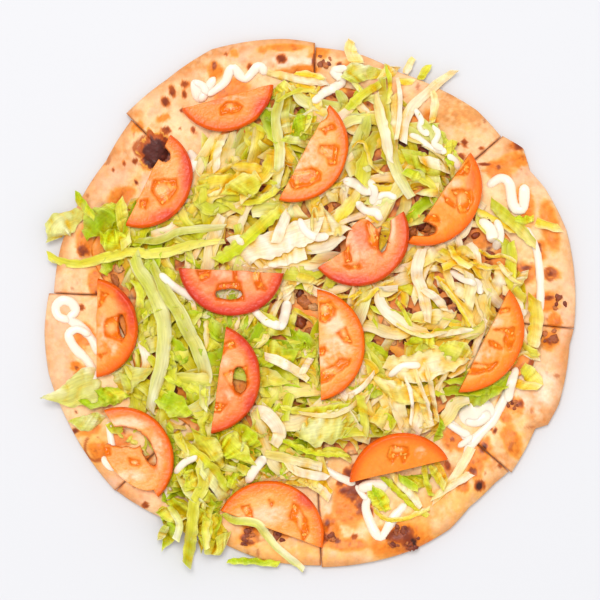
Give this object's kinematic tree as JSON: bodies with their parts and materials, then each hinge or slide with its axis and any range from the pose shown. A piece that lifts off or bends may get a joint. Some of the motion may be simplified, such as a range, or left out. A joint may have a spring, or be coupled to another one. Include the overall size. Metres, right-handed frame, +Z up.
{
  "type": "salad pizza",
  "caption": "Round thin pizza cut into wedges that lie together, with baked cheese, a heap of shredded lettuce, tomato half slices and strands of mayonnaise.",
  "frame": {"origin": "under the middle of the pizza, on the surface that it lies on", "axes": "+Z up, +Y towards the top of the picture, +X to its right"},
  "size_m": [0.3197, 0.318, 0.0254],
  "materials": {
    "crust": "baked pale dough and melted cheese, satin, browned in spots",
    "lettuce": "fresh shredded iceberg lettuce, softly glossy, green to cream",
    "tomato": "wet cut tomato, orange-red skin, pink flesh and orange gel",
    "mayonnaise": "thick off-white sauce, glossy",
    "meat": "small browned pieces of meat, satin"
  },
  "bodies": {
    "root": {"slice_1": "crust", "slice_2": "crust", "slice_3": "crust", "slice_4": "crust", "slice_5": "crust", "slice_6": "crust", "slice_7": "crust", "slice_8": "crust", "lettuce": "lettuce", "tomato_1": "tomato", "tomato_2": "tomato", "tomato_3": "tomato", "tomato_4": "tomato", "tomato_5": "tomato", "tomato_6": "tomato", "tomato_7": "tomato", "tomato_8": "tomato", "tomato_9": "tomato", "tomato_10": "tomato", "tomato_11": "tomato", "tomato_12": "tomato", "tomato_13": "tomato"}
  },
  "joints": []
}
